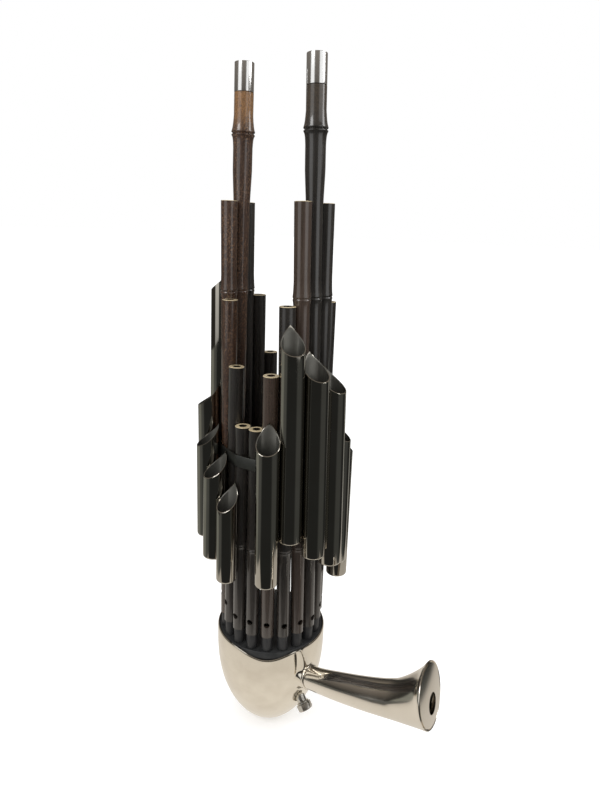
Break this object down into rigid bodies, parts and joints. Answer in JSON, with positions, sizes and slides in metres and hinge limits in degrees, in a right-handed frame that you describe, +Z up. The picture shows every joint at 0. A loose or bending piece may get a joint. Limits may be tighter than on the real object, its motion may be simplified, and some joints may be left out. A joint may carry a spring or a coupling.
{
  "type": "sheng mouth organ",
  "caption": "Free-reed mouth organ: bamboo pipes in a ring on a nickelled wind bowl with a flared side mouthpiece, metal resonator tubes on the pipes and a hoop round them.",
  "frame": {"origin": "the centre of the flat face under the wind bowl", "axes": "+Z up along the pipes, +X the way the mouthpiece points, +Y to its left seen from above"},
  "size_m": [0.1925, 0.0932, 0.458],
  "materials": {
    "bowl_nickel": "warm polished nickel plate on a drawn brass shell",
    "mouthpiece_nickel": "warm polished nickel plate",
    "plug_nickel": "polished nickel plate, duller on the flats",
    "plate_black": "satin black hard rubber",
    "foot_black": "black stained hardwood, satin, with a brass reed let into the inner flat",
    "bamboo_black": "near-black lacquered bamboo with fine streaks and pale cut ends",
    "bamboo_brown": "dark brown lacquered bamboo with pale cut ends",
    "bamboo_red": "red-brown mottled lacquered bamboo with pale cut ends",
    "tube_nickel": "smooth black-nickel plate, mirror bright",
    "sleeve_silver": "finely brushed silver plate",
    "hoop_steel": "dull grey plated strip"
  },
  "bodies": {
    "instrument": {"bowl": "bowl_nickel", "top_plate": "plate_black", "mouthpiece_collar": "mouthpiece_nickel", "hoop": "hoop_steel", "pipe_01": "bamboo_black", "pipe_02": "bamboo_black", "pipe_03": "bamboo_black", "pipe_04": "bamboo_red", "pipe_05": "bamboo_red", "pipe_06": "bamboo_red", "pipe_07": "bamboo_black", "pipe_08": "bamboo_black", "pipe_09": "bamboo_black", "pipe_10": "bamboo_brown", "pipe_11": "bamboo_black", "pipe_12": "bamboo_brown", "pipe_13": "bamboo_black", "pipe_14": "bamboo_black", "pipe_15": "bamboo_black", "pipe_16": "bamboo_black", "pipe_17": "bamboo_black", "reed_foot_01": "foot_black", "reed_foot_02": "foot_black", "reed_foot_03": "foot_black", "reed_foot_04": "foot_black", "reed_foot_05": "foot_black", "reed_foot_06": "foot_black", "reed_foot_07": "foot_black", "reed_foot_08": "foot_black", "reed_foot_09": "foot_black", "reed_foot_10": "foot_black", "reed_foot_11": "foot_black", "reed_foot_12": "foot_black", "reed_foot_13": "foot_black", "reed_foot_14": "foot_black", "reed_foot_15": "foot_black", "reed_foot_16": "foot_black", "reed_foot_17": "foot_black", "resonator_02": "tube_nickel", "resonator_03": "tube_nickel", "resonator_04": "tube_nickel", "resonator_05": "tube_nickel", "resonator_06": "tube_nickel", "resonator_07": "tube_nickel", "resonator_08": "tube_nickel", "resonator_10": "tube_nickel", "resonator_11": "tube_nickel", "resonator_12": "tube_nickel", "resonator_13": "tube_nickel", "resonator_14": "tube_nickel", "resonator_15": "tube_nickel", "end_sleeve_04": "sleeve_silver", "end_sleeve_13": "sleeve_silver"},
    "mouthpiece_part": {"mouthpiece": "mouthpiece_nickel", "mouth_plate": "mouthpiece_nickel"},
    "washer": {"drain_washer": "plug_nickel"},
    "plug": {"drain_plug": "plug_nickel"}
  },
  "joints": [
    {"name": "mouthpiece_pull", "type": "slide", "parent": "instrument", "child": "mouthpiece_part", "axis": [0.9647, -0.1185, 0.2351], "range_m": [0, 0.008]},
    {"name": "plug_travel", "type": "slide", "parent": "instrument", "child": "washer", "axis": [0.6616, -0.1001, -0.7431], "range_m": [0, 0.003]},
    {"name": "plug_turn", "type": "hinge", "parent": "washer", "child": "plug", "pos_m": [0.03373, -0.0051, 0.0279], "axis": [0.6616, -0.1001, -0.7431], "range_deg": [0, 1080]}
  ],
  "couplings": [
    {"joint": "plug_turn", "follows": "plug_travel", "rad_per_m": 6283}
  ]
}
